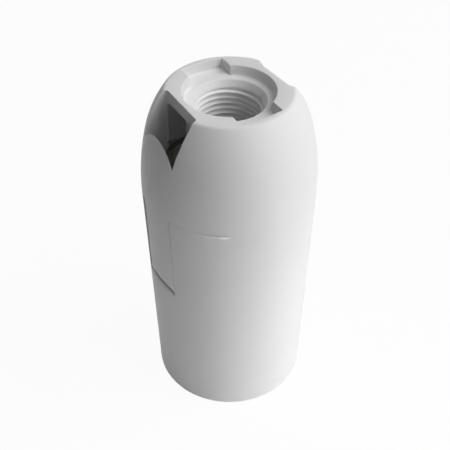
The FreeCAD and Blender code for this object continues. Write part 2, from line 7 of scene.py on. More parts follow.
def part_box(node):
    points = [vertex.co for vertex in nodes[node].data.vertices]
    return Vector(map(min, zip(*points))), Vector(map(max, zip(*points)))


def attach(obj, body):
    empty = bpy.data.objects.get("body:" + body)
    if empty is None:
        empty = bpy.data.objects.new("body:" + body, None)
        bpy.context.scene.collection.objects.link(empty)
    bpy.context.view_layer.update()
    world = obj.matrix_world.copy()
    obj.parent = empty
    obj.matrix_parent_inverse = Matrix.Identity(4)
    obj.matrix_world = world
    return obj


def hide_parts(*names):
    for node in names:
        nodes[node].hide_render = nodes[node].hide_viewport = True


# E14 lamp holder: domed cap with an M10 entry, tapering skirt, insert with screw shell and terminals.
# Lengths are in millimetres unless a comment says otherwise, and become metres in the meshes.

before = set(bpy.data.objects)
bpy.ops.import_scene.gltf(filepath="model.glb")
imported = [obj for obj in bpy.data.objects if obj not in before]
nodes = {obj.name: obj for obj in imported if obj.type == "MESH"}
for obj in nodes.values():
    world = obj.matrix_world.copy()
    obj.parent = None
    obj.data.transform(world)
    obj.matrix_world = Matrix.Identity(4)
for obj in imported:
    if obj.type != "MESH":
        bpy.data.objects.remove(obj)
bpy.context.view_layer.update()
mm = 0.001
turn = 2 * math.pi
tiny = 1e-6
beyond = 2.0  # how far a cutting tool reaches past what it cuts
mergeDistance = 1e-7  # in metres


# Shader graphs

class Wire:
    # One socket of a graph, which takes part in sums.
    def __init__(self, graph, socket):
        self.graph = graph
        self.socket = socket

    def sum(self, operation, first, second):
        return self.graph.node("ShaderNodeMath", {"operation": operation}, {0: first, 1: second})

    def __add__(self, other):
        return self.sum("ADD", self, other)

    def __radd__(self, other):
        return self.sum("ADD", other, self)

    def __sub__(self, other):
        return self.sum("SUBTRACT", self, other)

    def __rsub__(self, other):
        return self.sum("SUBTRACT", other, self)

    def __mul__(self, other):
        return self.sum("MULTIPLY", self, other)

    def __rmul__(self, other):
        return self.sum("MULTIPLY", other, self)


class Graph:
    def __init__(self, tree):
        self.tree = tree
        tree.nodes.clear()

    def node(self, kind, settings=None, inputs=None, output=0):
        made = self.tree.nodes.new(kind)
        for name, value in (settings or {}).items():
            setattr(made, name, value)
        for name, value in (inputs or {}).items():
            socket = made.inputs[name]
            if isinstance(value, Wire):
                self.tree.links.new(value.socket, socket)
            else:
                socket.default_value = value
        return Wire(self, made.outputs[output]) if made.outputs else made

    def part(self, wire, name):
        return Wire(self, wire.socket.node.outputs[name])

    def mixed(self, share, first, second):
        # The colour sockets of a Mix node are 6 and 7, and its colour output is 2.
        sockets = {0: share, 6: first, 7: second}
        return self.node("ShaderNodeMix", {"data_type": "RGBA"}, sockets, output=2)


def newMaterial(name, build):
    material = bpy.data.materials.new(name)
    material.use_nodes = True
    graph = Graph(material.node_tree)
    shader = build(graph)
    graph.node("ShaderNodeOutputMaterial", {}, {"Surface": shader})
    return material


# Plastic: moulded, satin, with a faint spark-eroded grain

whitePlastic = {
    "colour": (0.80, 0.80, 0.80, 1),
    "colourDeep": (0.775, 0.775, 0.775, 1),
    "cloudSize": 4.0,
    "roughness": 0.46,
    "roughnessSpread": 0.07,
    "grainSize": 0.22,
    "grainHeight": 0.0022,
    "flowSize": 7.0,
    "flowHeight": 0.012,
    "edgeRound": 0.08,
    "shine": 0.2,
}

insertPlastic = {
    "colour": (0.66, 0.65, 0.64, 1),
    "colourDeep": (0.60, 0.59, 0.58, 1),
    "cloudSize": 2.5,
    "roughness": 0.58,
    "roughnessSpread": 0.08,
    "grainSize": 0.3,
    "grainHeight": 0.004,
    "flowSize": 5.0,
    "flowHeight": 0.015,
    "edgeRound": 0.12,
    "shine": 0.4,
}


def plastic(graph, look):
    place = graph.part(graph.node("ShaderNodeTexCoord"), "Object")
    clouds = graph.node("ShaderNodeTexNoise", {}, {
        "Vector": place, "Scale": 1 / (look["cloudSize"] * mm), "Detail": 3.0, "Roughness": 0.55})
    grain = graph.node("ShaderNodeTexNoise", {}, {
        "Vector": place, "Scale": 1 / (look["grainSize"] * mm), "Detail": 2.0, "Roughness": 0.6})
    flow = graph.node("ShaderNodeTexNoise", {}, {
        "Vector": place, "Scale": 1 / (look["flowSize"] * mm), "Detail": 1.0, "Roughness": 0.4})
    colour = graph.mixed(clouds, look["colour"], look["colourDeep"])
    roughness = look["roughness"] + (grain - 0.5) * look["roughnessSpread"]
    height = grain * look["grainHeight"] + flow * look["flowHeight"]
    edge = graph.node("ShaderNodeBevel", {"samples": 6}, {"Radius": look["edgeRound"] * mm})
    bump = graph.node("ShaderNodeBump", {}, {
        "Strength": 1.0, "Distance": mm, "Height": height, "Normal": edge})
    return graph.node("ShaderNodeBsdfPrincipled", {}, {
        "Base Color": colour, "Roughness": roughness, "IOR": 1.5, "Specular IOR Level": look["shine"],
        "Normal": bump})


# Metals: drawn lines run across the height, so many to a millimetre, over patches of duller metal

sheetLines = {"stretch": 0.08, "roughnessSpread": 0.08}

metalLooks = {
    "nickelSheet": {
        "colour": (0.70, 0.67, 0.62, 1), "dull": (0.52, 0.49, 0.45, 1),
        "roughness": 0.26, "spread": 0.18, "patchSize": 3.0,
        "lines": 9.0, "lineHeight": 0.0012, "edgeRound": 0.05},
    "springBronze": {
        "colour": (0.78, 0.52, 0.28, 1), "dull": (0.56, 0.35, 0.19, 1),
        "roughness": 0.30, "spread": 0.16, "patchSize": 2.0,
        "lines": 14.0, "lineHeight": 0.0012, "edgeRound": 0.05},
    "terminalBrass": {
        "colour": (0.80, 0.61, 0.30, 1), "dull": (0.60, 0.43, 0.20, 1),
        "roughness": 0.28, "spread": 0.16, "patchSize": 2.0,
        "lines": 18.0, "lineHeight": 0.0015, "edgeRound": 0.08},
    "zincSteel": {
        "colour": (0.66, 0.67, 0.69, 1), "dull": (0.50, 0.51, 0.54, 1),
        "roughness": 0.32, "spread": 0.2, "patchSize": 1.2,
        "lines": 12.0, "lineHeight": 0.0012, "edgeRound": 0.06},
}


def metal(graph, look):
    place = graph.part(graph.node("ShaderNodeTexCoord"), "Object")
    patches = graph.node("ShaderNodeTexNoise", {}, {
        "Vector": place, "Scale": 1 / (look["patchSize"] * mm), "Detail": 4.0, "Roughness": 0.6})
    along = look["lines"] / mm
    across = along * sheetLines["stretch"]
    stretched = graph.node("ShaderNodeMapping", {}, {"Vector": place, "Scale": (across, across, along)})
    lines = graph.node("ShaderNodeTexNoise", {}, {
        "Vector": stretched, "Scale": 1.0, "Detail": 2.0, "Roughness": 0.5})
    colour = graph.mixed(patches, look["colour"], look["dull"])
    roughness = look["roughness"] + (patches - 0.5) * look["spread"]
    roughness = roughness + (lines - 0.5) * sheetLines["roughnessSpread"]
    edge = graph.node("ShaderNodeBevel", {"samples": 4}, {"Radius": look["edgeRound"] * mm})
    bump = graph.node("ShaderNodeBump", {}, {
        "Strength": 1.0, "Distance": mm, "Height": lines * look["lineHeight"], "Normal": edge})
    return graph.node("ShaderNodeBsdfPrincipled", {}, {
        "Base Color": colour, "Metallic": 1.0, "Roughness": roughness, "Normal": bump})


print("materials")
materials = {
    "whiteMoulding": newMaterial("whiteMoulding", lambda graph: plastic(graph, whitePlastic)),
    "insertMoulding": newMaterial("insertMoulding", lambda graph: plastic(graph, insertPlastic)),
}
for name, look in metalLooks.items():
    materials[name] = newMaterial(name, lambda graph, look=look: metal(graph, look))


# Mesh tools

def roundedOutline(corners, step=0.12):
    # Each corner is (first, second, round). A round of 0 keeps the point as it is.
    points = []
    count = len(corners)
    for index, (x, z, size) in enumerate(corners):
        here = Vector((x, z))
        if not size:
            points.append(here)
            continue
        before = Vector(corners[index - 1][:2]) - here
        after = Vector(corners[(index + 1) % count][:2]) - here
        before.normalize()
        after.normalize()
        half = before.angle(after) / 2
        reach = size / math.tan(half)
        centre = here + (before + after).normalized() * size / math.sin(half)
        start = here + before * reach - centre
        end = here + after * reach - centre
        sweep = start.angle_signed(end)
        steps = max(3, int(abs(sweep) * size / step))
        for number in range(steps + 1):
            angle = -sweep * number / steps
            c, s = math.cos(angle), math.sin(angle)
            points.append(centre + Vector((start.x * c - start.y * s, start.x * s + start.y * c)))
    return points


def arcPoints(centre, radius, low, high, step, fromTop=False):
    # Points on an arc around centre, between two heights, on the side away from the axis.
    first = math.asin((low - centre[1]) / radius)
    last = math.asin((high - centre[1]) / radius)
    steps = max(2, int(abs(last - first) * radius / step))
    points = []
    for number in range(steps + 1):
        angle = first + (last - first) * number / steps
        points.append((centre[0] + radius * math.cos(angle), centre[1] + radius * math.sin(angle), 0))
    return points[::-1] if fromTop else points


def lathe(name, outline, segments, radiusAt=None):
    # Turns a closed outline about Z.
    # radiusAt(angle, radius, height) can make a row uneven, as in a thread.
    mesh = bmesh.new()
    rings = []
    for x, z in outline:
        if abs(x) < tiny:
            rings.append([mesh.verts.new((0, 0, z * mm))])
            continue
        ring = []
        for number in range(segments):
            angle = turn * number / segments
            radius = (radiusAt(angle, x, z) if radiusAt else x) * mm
            ring.append(mesh.verts.new((radius * math.cos(angle), radius * math.sin(angle), z * mm)))
        rings.append(ring)
    for lower, upper in zip(rings, rings[1:] + rings[:1]):
        if len(lower) == 1 and len(upper) == 1:
            continue
        for number in range(segments):
            following = (number + 1) % segments
            if len(lower) == 1:
                mesh.faces.new((lower[0], upper[following], upper[number]))
            elif len(upper) == 1:
                mesh.faces.new((lower[number], lower[following], upper[0]))
            else:
                mesh.faces.new((lower[number], lower[following], upper[following], upper[number]))
    bmesh.ops.recalc_face_normals(mesh, faces=mesh.faces)
    return asObject(name, mesh)


def asObject(name, mesh):
    data = bpy.data.meshes.new(name)
    mesh.to_mesh(data)
    mesh.free()
    made = bpy.data.objects.new(name, data)
    bpy.context.scene.collection.objects.link(made)
    return made


def skin(name, rings):
    # Joins closed rings of points one to the next, with a flat face over each end.
    mesh = bmesh.new()
    loops = []
    for ring in rings:
        loops.append([mesh.verts.new([value * mm for value in point]) for point in ring])
    for lower, upper in zip(loops, loops[1:]):
        for number in range(len(lower)):
            following = (number + 1) % len(lower)
            mesh.faces.new((lower[number], lower[following], upper[following], upper[number]))
    mesh.faces.new(loops[0][::-1])
    mesh.faces.new(loops[-1])
    bmesh.ops.recalc_face_normals(mesh, faces=mesh.faces)
    return asObject(name, mesh)


def prism(name, outline, low, high):
    # An outline of (x, y) points, extruded upwards.
    return skin(name, [[(x, y, z) for x, y in outline] for z in (low, high)])


def block(name, low, high, cornerRound=0.0):
    # A box between two corners, whose upright edges can be rounded.
    corners = [(low[0], low[1], cornerRound), (high[0], low[1], cornerRound),
               (high[0], high[1], cornerRound), (low[0], high[1], cornerRound)]
    return prism(name, roundedOutline(corners, step=0.1), low[2], high[2])


def turned(piece, degrees):
    piece.data.transform(Matrix.Rotation(math.radians(degrees), 4, "Z"))
    return piece


def combine(piece, operation, tools):
    # Applies an exact boolean with each tool in turn, and removes the tools.
    for tool in tools:
        change = piece.modifiers.new("change", "BOOLEAN")
        change.operation = operation
        change.solver = "EXACT"
        change.object = tool
        view = bpy.context.evaluated_depsgraph_get()
        result = bpy.data.meshes.new_from_object(piece.evaluated_get(view))
        piece.modifiers.clear()
        old = piece.data
        piece.data = result
        bpy.data.meshes.remove(old)
    for tool in tools:
        bpy.data.objects.remove(tool)
    return piece


def finishPiece(piece, name, material, slot, body, *stoodFor, sharp=32):
    piece.name = name
    piece.data.name = name
    mesh = bmesh.new()
    mesh.from_mesh(piece.data)
    bmesh.ops.remove_doubles(mesh, verts=mesh.verts, dist=mergeDistance)
    bmesh.ops.dissolve_degenerate(mesh, edges=mesh.edges, dist=mergeDistance)
    mesh.to_mesh(piece.data)
    mesh.free()
    piece.data.materials.clear()
    piece.data.materials.append(materials[material])
    piece.data.set_sharp_from_angle(angle=math.radians(sharp))
    for polygon in piece.data.polygons:
        polygon.use_smooth = True
    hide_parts(*stoodFor)
    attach(piece, body)
    print(name, len(piece.data.polygons), "faces")
    return piece


# Main dimensions, as in the solids

holder = {
    "height": 57.5,
    "seamHeight": 40.9,
    "seamRadius": 14.0,
    "mouthRadius": 12.9,
    "wall": 1.9,
    "armPlane": 12.15,
    "armEnd": 26.2,
    "armBow": 0.042,
    "segments": 240,
}


def skirtRadius(z):
    share = z / holder["seamHeight"]
    return holder["mouthRadius"] + (holder["seamRadius"] - holder["mouthRadius"]) * share


def smooth(value):
    value = min(1.0, max(0.0, value))
    return value * value * (3 - 2 * value)


# Cap: dome, threaded entry, windows and snap arms

cap = {
    "domeRadius": 44.0,
    "shoulderRise": 9.8,
    "rimRadius": 9.8,
    "rimRound": 0.75,
    "plate": 2.1,
    "recessRadius": 7.08,
    "recessFoot": 6.76,
    "recessDepth": 1.6,
    "recessRound": 0.12,
    "recessBend": 0.1,
    "recessBendDepth": 0.7,
    "recessBendRound": 1.0,
    "floorRound": 0.3,
    "floorFall": 0.03,
    "stepRadius": 5.72,
    "stepFoot": 5.15,
    "stepDepth": 2.85,
    "stepRound": 0.3,
    "bossRadius": 6.6,
    "bossEnd": 46.0,
    "bossRound": 0.2,
    "stopTop": 47.2,
    "stopRadius": 3.6,
    "stopRound": 0.15,
    "seamRound": 0.02,
    "spigotDepth": 2.4,
    "spigotOuter": 11.9,
    "spigotInner": 10.9,
    "spigotRoot": 42.4,
    "spigotInnerRound": 0.2,
    "spigotOuterRound": 0.3,
    "arcSteps": {"lower": 0.55, "crown": 0.45, "innerCrown": 0.9, "innerLower": 1.2},
    "rimSteps": 8,
    "innerStops": (0.4, 0.8),
    "windowInner": {1: 8.05, -1: 7.93},
    "windowTurn": {1: 3.6, -1: 0.0},
    "windowHalf": 4.88,
    "windowPinch": 0.26,
    "windowCorner": {1: 1.1, -1: 0.5},
    "windowFlare": (9.4, 11.0),
    "windowOverlap": 0.1,
    "webThickness": 0.8,
    "webEnd": 48.3,
    "webFoot": 8.3,
    "webStart": 5.9,
    "webSlant": (-0.3, 0.6),
    "webSlantDepth": 0.8,
    "webOverlap": 0.05,
    "webIntoPlate": 0.3,
    "pocketSides": {1: (-3.42, 3.52), -1: (-3.08, 3.9)},
    "pocketReach": 8.75,
    "pocketBow": 0.025,
    "pocketRound": 0.1,
    "pocketRoundSteps": 6,
    "pocketColumns": 16,
    "armHalf": 4.35,
    "armInset": 0.05,
    "armRounds": (0.12, 0.55),
    "armRoundShares": (0, 0.1, 0.3, 0.6, 1),
    "armRoundDepth": 0.8,
    "armRows": 16,
    "armRoot": 0.6,
    "armEndRound": 0.6,
    "armLean": 0.1,
    "armStep": 2.35,
    "armStepRun": 0.02,
    "armStepDepth": 0.5,
    "armThinnest": 0.15,
    "hookReach": 0.9,
    "hookHeight": 1.6,
    "hookHalf": 3.0,
    "hookRoot": 0.6,
    "hookRise": (0.2, 0.05),
    "reliefHalf": 2.3,
}

entryThread = {
    "pitch": 0.94, "root": 5.45, "shelf": 5.22, "crest": 4.82, "rowsPerTurn": 22, "start": 0.167,
    "leadSlope": 0.45, "startSlope": 2.2, "fadeStart": 0.2, "fade": 0.5,
    # where each face of a ridge starts, and how far it runs, as shares of the pitch
    "underside": (0.04, 0.20), "top": (0.31, 0.22), "upperFlank": (0.53, 0.43),
}


def domeArcs():
    # Lower arc from the seam, then a tighter arc that ends in the rim.
    rise = cap["shoulderRise"]
    big = cap["domeRadius"]
    run = math.sqrt(big * big - rise * rise)
    lower = (holder["seamRadius"] - big, holder["seamHeight"])
    shoulder = (lower[0] + run, lower[1] + rise)
    acrossRim = cap["rimRadius"] - shoulder[0]
    upRim = holder["height"] - shoulder[1]
    small = (acrossRim ** 2 + upRim ** 2) * big / (-2 * (acrossRim * run + upRim * rise))
    upper = (shoulder[0] - run * small / big, shoulder[1] - rise * small / big)
    return lower, shoulder, upper, small


def threadedRadius(angle, height, low, high):
    # Radius of the right-handed entry thread. The ridges fade out above the stop lip.
    phase = ((height - high) / entryThread["pitch"] - angle / turn + entryThread["start"]) % 1.0
    root, shelf, crest = entryThread["root"], entryThread["shelf"], entryThread["crest"]

    def slope(face, first, last):
        start, run = entryThread[face]
        return first + (last - first) * (phase - start) / run

    underside = slope("underside", root, crest)
    upper = slope("upperFlank", shelf, root)
    if phase < entryThread["upperFlank"][0]:
        upper = min(upper, slope("top", crest, shelf))
    ridge = max(crest, underside, upper)
    share = smooth((height - low) / entryThread["fade"])
    return root - (root - min(root, ridge)) * share


def makeCap():
    lower, shoulder, upper, small = domeArcs()
    top = holder["height"]
    seam = holder["seamHeight"]
    wall = holder["wall"]
    rimRound = cap["rimRound"]
    rimCentreZ = top - rimRound
    rimCentreX = upper[0] + math.sqrt((small - rimRound) ** 2 - (rimCentreZ - upper[1]) ** 2)
    rimEnd = upper[1] + (rimCentreZ - upper[1]) * small / (small - rimRound)
    plateBottom = top - cap["plate"]
    floor = top - cap["recessDepth"]
    steps = cap["arcSteps"]
    seamOuter = arcPoints(
        lower, cap["domeRadius"], seam + cap["seamRound"], shoulder[1], steps["lower"])
    crown = arcPoints(upper, small, shoulder[1], rimEnd, steps["crown"])[1:]
    firstAngle = math.atan2(rimEnd - rimCentreZ, crown[-1][0] - rimCentreX)
    rim = []
    for number in range(1, cap["rimSteps"] + 1):
        angle = firstAngle + (math.pi / 2 - firstAngle) * number / cap["rimSteps"]
        rim.append((rimCentreX + rimRound * math.cos(angle), rimCentreZ + rimRound * math.sin(angle), 0))
    # inside, the two arcs stop a little short of each other
    crownStop, lowerStop = [shoulder[1] - short for short in cap["innerStops"]]
    innerDome = arcPoints(
        upper, small - wall, crownStop, plateBottom, steps["innerCrown"], fromTop=True)
    innerLower = arcPoints(
        lower, cap["domeRadius"] - wall, cap["spigotRoot"], lowerStop, steps["innerLower"],
        fromTop=True)
    root = entryThread["root"]
    boreTop = top - cap["stepDepth"]
    rows = int((boreTop - cap["stopTop"]) / entryThread["pitch"] * entryThread["rowsPerTurn"])
    bore = []
    for number in range(1, rows):
        bore.append((root, boreTop - (boreTop - cap["stopTop"]) * number / rows, 0))
    corners = (
        [(holder["seamRadius"] - cap["seamRound"], seam, 0)] + seamOuter + crown + rim
        + [(cap["recessRadius"], top, cap["recessRound"]),
           (cap["recessFoot"] + cap["recessBend"], top - cap["recessBendDepth"], cap["recessBendRound"]),
           (cap["recessFoot"], floor, cap["floorRound"]),
           (cap["stepRadius"], floor - cap["floorFall"], cap["stepRound"]),
           (cap["stepFoot"], boreTop, 0)]
        + bore
        + [(root, cap["stopTop"], 0),
           (cap["stopRadius"], cap["stopTop"], cap["stopRound"]),
           (cap["stopRadius"], cap["bossEnd"], cap["stopRound"]),
           (cap["bossRadius"], cap["bossEnd"], cap["bossRound"]),
           (cap["bossRadius"], plateBottom, 0)]
        + innerDome + innerLower
        + [(cap["spigotInner"], cap["spigotRoot"], 0),
           (cap["spigotInner"], seam - cap["spigotDepth"], cap["spigotInnerRound"]),
           (cap["spigotOuter"], seam - cap["spigotDepth"], cap["spigotOuterRound"]),
           (cap["spigotOuter"], seam, 0)])

    def radiusAt(angle, radius, height):
        if abs(radius - root) > tiny:
            return radius
        # the cone of the entry cuts the ridges, and the topmost groove deepens as it leaves the step
        down = boreTop - height
        threaded = threadedRadius(angle, height, cap["stopTop"] + entryThread["fadeStart"], boreTop)
        threaded = min(threaded, cap["stepFoot"] + down * entryThread["startSlope"])
        return max(threaded, cap["stepFoot"] - down * entryThread["leadSlope"])

    body = lathe("capBody", roundedOutline(corners), holder["segments"], radiusAt)

    additions = []
    webOuter = cap["windowHalf"] + cap["webThickness"]
    for way in (1, -1):
        for side in (1, -1):
            web = webMesh(way, side, lower, upper, small, webOuter, plateBottom)
            additions.append(turned(web, cap["windowTurn"][way]))
        additions.append(armMesh(way))
    combine(body, "UNION", additions)

    cuts = []
    half = cap["windowHalf"]
    corner = half - cap["windowPinch"]
    flareStart, flareEnd = cap["windowFlare"]
    flank = [(holder["armPlane"], corner, 0), (flareEnd, half, 0), (flareStart, half, 0)]
    aboveArm = holder["armEnd"] + cap["hookHeight"]
    for way in (1, -1):
        inside = (cap["windowInner"][way], corner, cap["windowCorner"][way])
        plan = [inside] + flank[::-1] + [(x, -y, size) for x, y, size in flank + [inside]]
        plan = [(x * way, y) for x, y in roundedOutline(plan, step=0.1)]
        # above the spigot the window is turned with its webs, and behind the arm it stays square
        cuts.append(prism("armWindow", plan, aboveArm, cap["spigotRoot"]))
        window = prism("window", plan, cap["spigotRoot"] - cap["windowOverlap"], top + beyond)
        cuts.append(turned(window, cap["windowTurn"][way]))
        ys = sorted((way * (cap["spigotInner"] - beyond), way * (cap["spigotOuter"] + beyond)))
        cuts.append(block("relief", (-cap["reliefHalf"], ys[0], seam - cap["spigotDepth"] - beyond),
                          (cap["reliefHalf"], ys[1], seam)))
    cuts.append(pocketTool(floor, top))
    combine(body, "DIFFERENCE", cuts)
    return finishPiece(body, "capMoulding", "whiteMoulding", "white_moulding", "housing", "cap")


def webMesh(way, side, lower, upper, small, webOuter, plateBottom):
    # One of the four webs that run from the boss to the dome beside a window.
    near = cap["windowHalf"] - cap["windowPinch"] - cap["webOverlap"]
    wall = holder["wall"]
    low = cap["bossEnd"]
    high = plateBottom + cap["webIntoPlate"]
    end = cap["webEnd"]
    foot = cap["webFoot"]
    slantTop, slantFoot = cap["webSlant"]
    lowReach = lower[0] + math.sqrt((cap["domeRadius"] - wall / 2) ** 2 - (low - lower[1]) ** 2)
    highReach = upper[0] + math.sqrt((small - wall / 2) ** 2 - (plateBottom - upper[1]) ** 2)
    lowX = math.sqrt(lowReach ** 2 - webOuter ** 2)
    highX = math.sqrt(highReach ** 2 - webOuter ** 2)
    start = math.sqrt(cap["webStart"] ** 2 - near ** 2)
    section = [(start, end), (foot, end), (foot + slantTop, end - cap["webSlantDepth"]),
               (foot + slantFoot, low), (lowX, low), (highX, plateBottom), (highX, high), (start, high)]
    return skin("web", [[(x * way, y * side, z) for x, z in section] for y in (near, webOuter)])


def armMesh(way):
    # A snap arm: flush with the skirt outside, flat inside, with a hook at its lower end.
    end = holder["armEnd"]
    seam = holder["seamHeight"]
    top = seam + cap["armRoot"]
    half = cap["armHalf"]
    edge = cap["armEndRound"]
    inner = holder["armPlane"]
    hookTop = end + cap["hookHeight"]
    mesh = bmesh.new()
    # one side edge is sharper than the other, and the two arms are each other's half turn
    near, far = cap["armRounds"][::way]
    shares, rows = cap["armRoundShares"], cap["armRows"]
    ys = [-half + far * share for share in shares]
    ys += [-half + far + (2 * half - near - far) * number / rows for number in range(1, rows)]
    ys += [half - near * share for share in shares[::-1]]
    ys += [-way * (cap["armStep"] + shift) for shift in (-cap["armStepRun"], cap["armStepRun"])]
    ys.sort()
    zs = [end + edge * share for share in shares]
    zs += [end + edge + (top - end - edge) * number / rows for number in range(1, rows + 1)]

    def drop(distance, size):
        # how far the outer face falls back near a rounded edge
        if distance >= size:
            return 0.0
        return size - math.sqrt(max(0.0, size ** 2 - (size - distance) ** 2))

    def place(x, y, z):
        # the lower end is bowed, and the bow dies out towards the seam
        bow = holder["armBow"] * y * y * (top - z) / (top - end)
        return (x * way * mm, y * mm, (z - bow) * mm)

    outer = {}
    for z in zs:
        for y in ys:
            lean = cap["armLean"] * max(0.0, seam - z) / (seam - end)
            radius = skirtRadius(min(z, seam)) - cap["armInset"] + lean
            x = math.sqrt(radius ** 2 - y ** 2)
            edgeDrop = max(drop(y + half, far), drop(half - y, near), drop(z - end, edge))
            x -= edgeDrop * cap["armRoundDepth"]
            if -way * y > cap["armStep"]:
                x -= cap["armStepDepth"]
            outer[y, z] = mesh.verts.new(place(max(x, inner + cap["armThinnest"]), y, z))
    flat = {}
    for z in zs:
        for y in ys:
            flat[y, z] = mesh.verts.new(place(inner, y, z))
    for row in range(len(zs) - 1):
        for column in range(len(ys) - 1):
            corners = [(ys[column], zs[row]), (ys[column + 1], zs[row]),
                       (ys[column + 1], zs[row + 1]), (ys[column], zs[row + 1])]
            mesh.faces.new([outer[corner] for corner in corners])
            mesh.faces.new([flat[corner] for corner in corners][::-1])
    border = [(y, zs[0]) for y in ys] + [(ys[-1], z) for z in zs[1:]]
    border += [(y, zs[-1]) for y in ys[-2::-1]] + [(ys[0], z) for z in zs[-2:0:-1]]
    for corner, following in zip(border, border[1:] + border[:1]):
        mesh.faces.new((outer[corner], flat[corner], flat[following], outer[following]))
    bmesh.ops.recalc_face_normals(mesh, faces=mesh.faces)
    arm = asObject("arm", mesh)

    reach, root = cap["hookReach"], cap["hookRoot"]
    rootRise, innerRise = cap["hookRise"]
    section = [(inner + root, end + rootRise), (inner, end + innerRise), (inner - reach, end + reach),
               (inner - reach, hookTop), (inner + root, hookTop)]
    sides = (-cap["hookHalf"], cap["hookHalf"])
    hook = skin("hook", [[(x * way, y, z) for x, z in section] for y in sides])
    return combine(arm, "UNION", [hook])


def pocketTool(floor, top):
    # The side pockets reach across the entry, with walls that spread at the top edge.
    reach, edge = cap["pocketReach"], cap["pocketRound"]
    steps, columns = cap["pocketRoundSteps"], cap["pocketColumns"]
    levels = [(floor, 0.0)]
    for number in range(steps + 1):
        angle = math.pi / 2 * number / steps
        levels.append((top - edge + edge * math.sin(angle), edge * (1 - math.cos(angle))))
    levels.append((top + beyond, levels[-1][1]))
    rings = []
    for height, spread in levels:
        ring = []
        for way in (1, -1):
            left, right = cap["pocketSides"][way]
            first, last = (left - spread, right + spread)[::way]
            for number in range(columns + 1):
                x = first + (last - first) * number / columns
                y = (reach + spread - cap["pocketBow"] * x * x) * way
                ring.append((x, y, height))
        rings.append(ring)
    return skin("pockets", rings)


# Skirt

skirt = {
    "seamRound": 0.02,
    "mouthRound": 0.55,
    "innerMouthRound": 0.3,
    "notchHalf": 4.46,
    "notchTopHalf": 4.57,
    "notchBottom": 25.78,
    "notchRound": 0.6,
    "notchRoundSteps": 3,
    "notchColumns": 16,
    "notchInner": 8.0,
    "lipReach": 0.45,
    "lipPlaces": (222.6, 235.6, 240.7),
    "lipHeight": 0.5,
    "lipRun": 0.3,
    "lipRows": (0.5, 0.4, 0.3, 0.22, 0.14),
    "rows": 24,
    "firstRow": 1.0,
    "rowsShort": 0.6,
    "innerRound": 0.15,
    "ledgeBottom": 28.0,
    "ledgeTop": 30.0,
    "ledgeInner": 9.35,
    "ledgeOuter": 12.0,
    "keyHalf": 0.8,
    "keyReach": 1.1,
    "keyTop": 31.8,
    "keyInto": 0.3,
    "keyRound": 0.2,
}


def notchTool(way):
    # Cuts the window for an arm, with a rounded outer edge along its bottom.
    bottom, size = skirt["notchBottom"], skirt["notchRound"]
    steps, columns = skirt["notchRoundSteps"], skirt["notchColumns"]
    outside = skirtRadius(bottom)
    inside = skirt["notchInner"]
    top = holder["seamHeight"] + beyond
    rings = []
    for number in range(columns + 1):
        share = 2 * number / columns - 1
        low, high = skirt["notchHalf"] * share, skirt["notchTopHalf"] * share
        edge = math.sqrt(outside ** 2 - low ** 2)
        base = bottom - holder["armBow"] * low ** 2
        section = [(inside, low, base), (edge - size, low, base)]
        for step in range(1, steps + 1):
            angle = math.pi / 2 * step / steps
            section.append((
                edge - size + size * math.sin(angle), low, base - size + size * math.cos(angle)))
        section += [(edge + beyond, low, base - size), (edge + beyond, high, top), (inside, high, top)]
        rings.append([(x * way, y, z) for x, y, z in section])
    return skin("notch", rings)


def makeSkirt():
    seam = holder["seamHeight"]
    wall = holder["wall"]
    inner = holder["mouthRadius"] - wall
    rows, first = skirt["rows"], skirt["firstRow"]
    last = seam - skirt["rowsShort"]
    sides = []
    for number in range(1, rows):
        z = first + (last - first) * number / rows
        sides.append((skirtRadius(z), z, 0))
    for below in skirt["lipRows"]:
        sides.append((skirtRadius(seam - below), seam - below, 0))
    corners = (
        [(inner, 0, skirt["innerMouthRound"]), (holder["mouthRadius"], 0, skirt["mouthRound"])]
        + sides
        + [(holder["seamRadius"], seam, skirt["seamRound"]),
           (holder["seamRadius"] - wall, seam, skirt["innerRound"])])

    def radiusAt(angle, radius, height):
        # a slight lip stands out of the top edge over a short stretch
        if height < seam - skirt["lipHeight"] or radius < holder["seamRadius"] - wall / 2:
            return radius
        start, peak, end = skirt["lipPlaces"]
        along = math.degrees(angle)
        swell = min(1.0, max(0.0, (along - start) / (peak - start)))
        swell *= smooth((end - along) / (end - peak))
        upwards = smooth((height - seam + skirt["lipHeight"]) / skirt["lipRun"])
        return radius + skirt["lipReach"] * swell * upwards

    tube = lathe("skirtBody", roundedOutline(corners, step=0.05), holder["segments"], radiusAt)
    combine(tube, "DIFFERENCE", [notchTool(way) for way in (1, -1)])
    inside, outside = skirt["ledgeInner"], skirt["ledgeOuter"]
    ledge = lathe("ledge", roundedOutline([
        (inside, skirt["ledgeBottom"], skirt["innerRound"]), (outside, skirt["ledgeBottom"], 0),
        (outside, skirt["ledgeTop"], 0), (inside, skirt["ledgeTop"], skirt["innerRound"])]),
        holder["segments"])
    ribs = []
    wallInside = skirtRadius(skirt["ledgeTop"]) - wall
    for way in (1, -1):
        ys = sorted((way * (wallInside - skirt["keyReach"]), way * (wallInside + wall / 2)))
        ribs.append(block("key", (-skirt["keyHalf"], ys[0], skirt["ledgeTop"] - skirt["keyInto"]),
                          (skirt["keyHalf"], ys[1], skirt["keyTop"]), skirt["keyRound"]))
    combine(tube, "UNION", [ledge] + ribs)
    return finishPiece(tube, "skirtMoulding", "whiteMoulding", "white_moulding", "housing", "skirt")


# Screw shell: rolled sheet with the rounded lamp thread

shell = {
    "top": 30.0, "end": 9.5, "sheet": 0.35, "crest": 6.2, "root": 7.0, "pitch": 2.82,
    "flangeHole": 4.4, "bend": 0.5, "bendRound": 0.45, "edgeRound": 0.1, "shoulderRound": 0.35,
    "rowStep": 0.25, "segments": 180, "fade": 2.0, "threadStart": 0.6, "threadEnd": 1.2,
    "rivetHole": 0.55, "rivetX": 5.2, "rivetY": 1.95, "rivetSides": 24,
}


